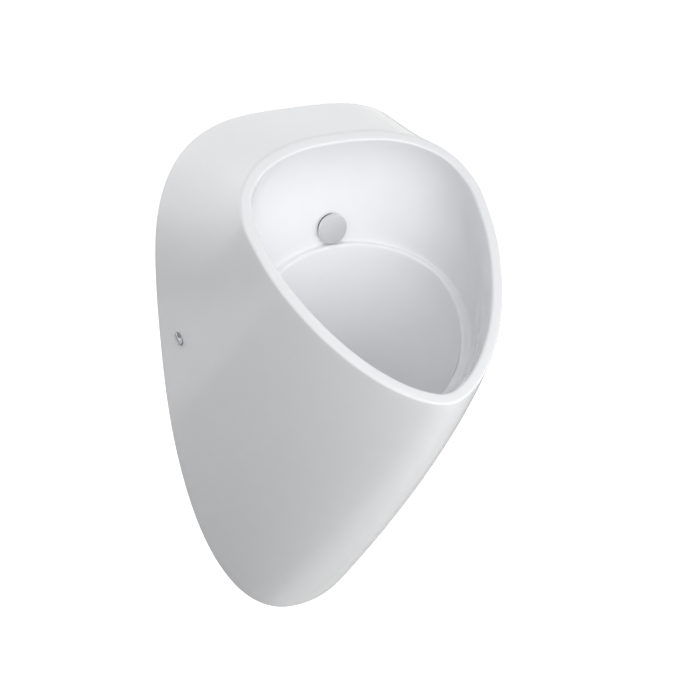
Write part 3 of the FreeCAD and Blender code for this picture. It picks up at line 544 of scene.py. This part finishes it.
eased("spray_head", "spray_head_body", 0.3 * MM, chromed_brass)
eased("spray_gasket", "spray_seat_gasket", 0.2 * MM, moulded_rubber)
eased("spray_washer", "spray_back_washer", 0.3 * MM, moulded_rubber)
eased("spray_nut", "spray_lock_nut", 0.5 * MM, machined_brass)
eased("flush_pipe", "flush_supply_pipe", 0.3 * MM, chromed_brass)
eased("flush_union_nut", "flush_pipe_nut", 0.5 * MM, chromed_brass)
eased("flush_grommet", "flush_wall_grommet", 0.8 * MM, moulded_rubber)
eased("drain_gasket", "drain_seat_gasket", 0.2 * MM, moulded_rubber)
tail = eased("drain_flange", "drain_waste_fitting", 0.3 * MM, chromed_brass)
scored(tail, 2, TAIL_HALF, *TAIL_THREAD, TAIL_CUT, pitch=TAIL_PITCH)
eased("strainer", "drain_strainer_grid", 0.15 * MM, pressed_steel)
eased("drain_washer", "drain_back_washer", 0.3 * MM, moulded_rubber)
eased("drain_nut", "drain_lock_nut", 0.6 * MM, machined_brass)
eased("trap_bend", "trap_lower_bend", 0.4 * MM, moulded_plastic)
eased("trap_seal", "trap_joint_seal", 0.2 * MM, moulded_rubber)
for node, name in (("trap_inlet_nut", "trap_upper_nut"), ("trap_outlet_nut", "trap_lower_nut")):
    ring = eased(node, name, 0.6 * MM, moulded_plastic)
    low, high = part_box(node)
    scored(ring, 2, RING_HALF, low.z, high.z, FLUTE_CUT, starts=FLUTES)
eased("outlet_bend", "waste_outlet_bend", 0.4 * MM, moulded_plastic)
sleeve = eased("outlet_sleeve", "waste_wall_sleeve", 0.8 * MM, moulded_rubber)
scored(sleeve, 1, SLEEVE_HALF, *SLEEVE_RINGS, SLEEVE_CUT, pitch=SLEEVE_PITCH, starts=0)

# -------------------------------------------------------------- wall fixings
# Steel angles on the wall carry the china by two side screws. They are pressed and
# punched from zinc plated plate, with a nut welded inside each leg.
SCREW_HALF, SCREW_THREAD = 4.0 * MM, (117.9 * MM, 143 * MM)
SCREW_PITCH, SCREW_CUT = 1.25 * MM, 0.6 * MM
for word, side in (("right", 1), ("left", -1)):
    eased("bracket_" + word, "wall_bracket_" + word, 0.5 * MM, zinc_plate)
    eased("weld_nut_" + word, "bracket_nut_" + word, 0.4 * MM, zinc_plate)
    screw = eased("fixing_screw_" + word, "side_screw_" + word, 0.25 * MM, zinc_plate)
    ends = sorted(side * place for place in SCREW_THREAD)
    scored(screw, 0, SCREW_HALF, *ends, SCREW_CUT, pitch=SCREW_PITCH)
    eased("fixing_bush_" + word, "side_bush_" + word, 0.25 * MM, moulded_nylon)

# ------------------------------------------------------- studio, light, camera
# A wide pale floor far below the object in a white room, four large soft boxes in front
# and two behind, and the photograph's own point of view.
FLOOR_DROP, FLOOR_SPAN, FLOOR_GLOW = 1.3, 60.0, 0.96
AIR_FILL, AIR_GLOW = 0.03, 1.1
FLOOR_STEEP, FLOOR_DARK = 0.4, 0.05     # the slope at which a mirrored floor is darkest
AIR_LOW, AIR_HIGH, AIR_DARK = 0.3, 0.9, 0.15    # the slopes between which the air darkens
CLOTH_AT, CLOTH_SIDE = (-1.1, 0.3, -1.2), 2.2
BOX_SIDE, BOX_REACH = 2.4, 3.0


def seen_light(tree, way, **fade):
    """Mirror rays, the rays that see plain white, and what a mirror sees up or down."""
    path = add_node(tree, "LightPath").outputs
    plain = add_node(tree, "Math", {0: path["Is Camera Ray"], 1: path["Is Transmission Ray"]},
                     operation="MAXIMUM").outputs["Value"]
    steep = add_node(tree, "SeparateXYZ", {"Vector": way}).outputs["Z"]
    sockets = {name.replace("_", " "): value for name, value in fade.items()}
    mirrored = add_node(tree, "MapRange", {"Value": steep, **sockets},
                        interpolation_type="SMOOTHSTEP").outputs["Result"]
    return path["Is Glossy Ray"], plain, mirrored


def flat_sheet(name, side, middle, finish):
    """A level square of the studio, one face."""
    form = bmesh.new()
    bmesh.ops.create_grid(form, x_segments=1, y_segments=1, size=side / 2,
                          matrix=Matrix.Translation(middle))
    return new_piece(name, form, finish)


# Matt paint with a glow that makes it evenly white to the camera. To mirror rays alone it glows as
# a
# painted reflection in the glaze: bright at the horizon, it darkens from there down to the object's
# foot.
floor_paint, shader = new_finish("pale_studio_floor", "f4f4f4", 0.9)
tree = floor_paint.node_tree
way = add_node(tree, "NewGeometry").outputs["Incoming"]
glossy, plain, mirrored = seen_light(tree, way, From_Max=FLOOR_STEEP,
                                     To_Min=AIR_GLOW, To_Max=FLOOR_DARK)
plain = add_node(tree, "Math", {0: plain, 1: FLOOR_GLOW}, operation="MULTIPLY").outputs["Value"]
# The floor's glow: plain white to camera rays, and a painted reflection to mirror rays.
glow = add_node(tree, "Math", {0: glossy, 1: mirrored, 2: plain}, operation="MULTIPLY_ADD")
shader.inputs["Emission Color"].default_value = linear("ffffff")
tree.links.new(glow.outputs["Value"], shader.inputs["Emission Strength"])
studio_floor = flat_sheet("studio_floor", FLOOR_SPAN, (0, 0, -FLOOR_DROP), floor_paint)

# A black cloth low on the left takes the floor's light from the foot of the bowl. Camera,
# mirror and shadow rays pass it by.
felt = new_finish("black_felt_cloth", "121212", 0.95)[0]
black_cloth = flat_sheet("black_cloth", CLOTH_SIDE, CLOTH_AT, felt)
black_cloth.visible_camera = False
black_cloth.visible_glossy = False
black_cloth.visible_shadow = False

# Mirrored in the glaze, the room is bright along its walls and darker overhead.
world = bpy.data.worlds.new("studio_air")
bpy.context.scene.world = world
world.use_nodes = True
tree = world.node_tree
way = add_node(tree, "TexCoord").outputs["Generated"]
glossy, plain, mirrored = seen_light(tree, way, From_Min=AIR_LOW, From_Max=AIR_HIGH,
                                     To_Min=AIR_GLOW, To_Max=AIR_DARK)
plain = add_node(tree, "MapRange", {"Value": plain, "To Min": AIR_FILL}).outputs["Result"]
strength = add_node(tree, "Mix", {"Factor": glossy, "A": plain, "B": mirrored})
tree.nodes["Background"].inputs["Color"].default_value = linear("ffffff")
tree.links.new(strength.outputs["Result"], tree.nodes["Background"].inputs["Strength"])


def soft_light(name, way, power):
    """A soft box that faces the object and is not mirrored in the glaze."""
    lamp = bpy.data.lights.new(name, "AREA")
    lamp.shape, lamp.size, lamp.energy = "SQUARE", BOX_SIDE, power
    light = bpy.data.objects.new(name, lamp)
    light.location = Vector(way).normalized() * BOX_REACH
    light.rotation_euler = (-light.location).to_track_quat("-Z", "Y").to_euler()
    light.visible_glossy = False
    bpy.context.scene.collection.objects.link(light)


soft_light("front_box", (0, -1, 0.1), 40)
soft_light("right_box", (1, -1, 0.3), 26)
soft_light("front_top_box", (0, -1, 1), 23)
soft_light("left_top_box", (-1, -1, 1.4), 22)
soft_light("left_back_box", (-1, 1, 0.4), 42)
soft_light("back_top_box", (0, 1, 1), 36)

EYE, AIM = (-0.50226, -1.15713, 0.5585), (0.3962, 0.8036, -0.4442)
LENS, SENSOR = 63.53, 36.0
lens = bpy.data.cameras.new("photo_view")
lens.lens, lens.sensor_width = LENS, SENSOR
camera = bpy.data.objects.new("photo_view", lens)
camera.location = EYE
camera.rotation_euler = Vector(AIM).to_track_quat("-Z", "Y").to_euler()
bpy.context.scene.collection.objects.link(camera)
bpy.context.scene.camera = camera
bpy.context.scene.view_settings.view_transform = "Standard"
